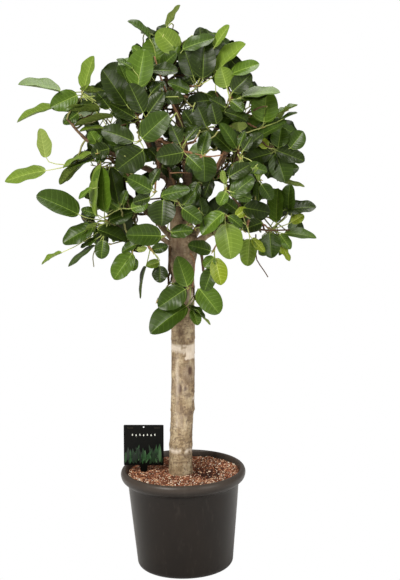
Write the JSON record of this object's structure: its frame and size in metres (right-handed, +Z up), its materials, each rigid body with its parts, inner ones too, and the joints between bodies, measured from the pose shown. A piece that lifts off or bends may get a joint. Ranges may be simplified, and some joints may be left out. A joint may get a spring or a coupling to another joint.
{
  "type": "potted banyan fig standard tree",
  "caption": "Banyan fig grown as a standard: a clear trunk that forks into boughs and an open, unclipped crown of foliage masses, standing in a round black nursery pot with a blank tag.",
  "frame": {"origin": "middle of the pot's flat underside, where the plant stands", "axes": "+Z up along the trunk, +X to the right of the side that shows the plant tag, +Y away from that side"},
  "size_m": [0.975, 0.755, 1.788],
  "materials": {
    "pot_plastic": "satin black-brown moulded plastic",
    "bark_soil": "loose bark and coir chips with pale flecks",
    "tag_card": "semi-gloss printed card",
    "bark": "smooth grey-beige bark with ring scars and blotches",
    "leaf": "satin leathery leaves with pale veins",
    "young_wood": "brown-green young bark"
  },
  "bodies": {
    "root": {"pot": "pot_plastic", "soil": "bark_soil", "plant_label": "tag_card", "trunk": "bark", "bough_left_leader": "bark", "bough_centre_leader": "bark", "bough_right": "bark", "bough_upper_right": "bark", "bough_back": "bark", "bough_back_left": "bark", "bough_back_right": "bark", "bough_upper_left": "bark", "bough_far_left": "bark", "bough_low_left": "bark", "foliage_top_left_peak": "leaf", "foliage_top_centre": "leaf", "foliage_upper_left": "leaf", "foliage_upper_right": "leaf", "foliage_far_left_upper": "leaf", "foliage_left": "leaf", "foliage_far_left_lower": "leaf", "foliage_lower_left": "leaf", "foliage_hanging_left": "leaf", "foliage_low_left": "leaf", "foliage_front": "leaf", "foliage_low_front": "leaf", "foliage_right": "leaf", "foliage_low_right": "leaf", "foliage_lowest_right": "leaf", "foliage_hanging_front": "leaf", "foliage_hanging_right": "leaf", "foliage_back_top": "leaf", "foliage_back_left": "leaf", "foliage_back_right": "leaf", "foliage_back": "leaf", "foliage_low_back_left": "leaf", "foliage_low_back_right": "leaf", "foliage_upper_front": "leaf", "foliage_left_front": "leaf", "foliage_right_front": "leaf"}
  },
  "joints": []
}
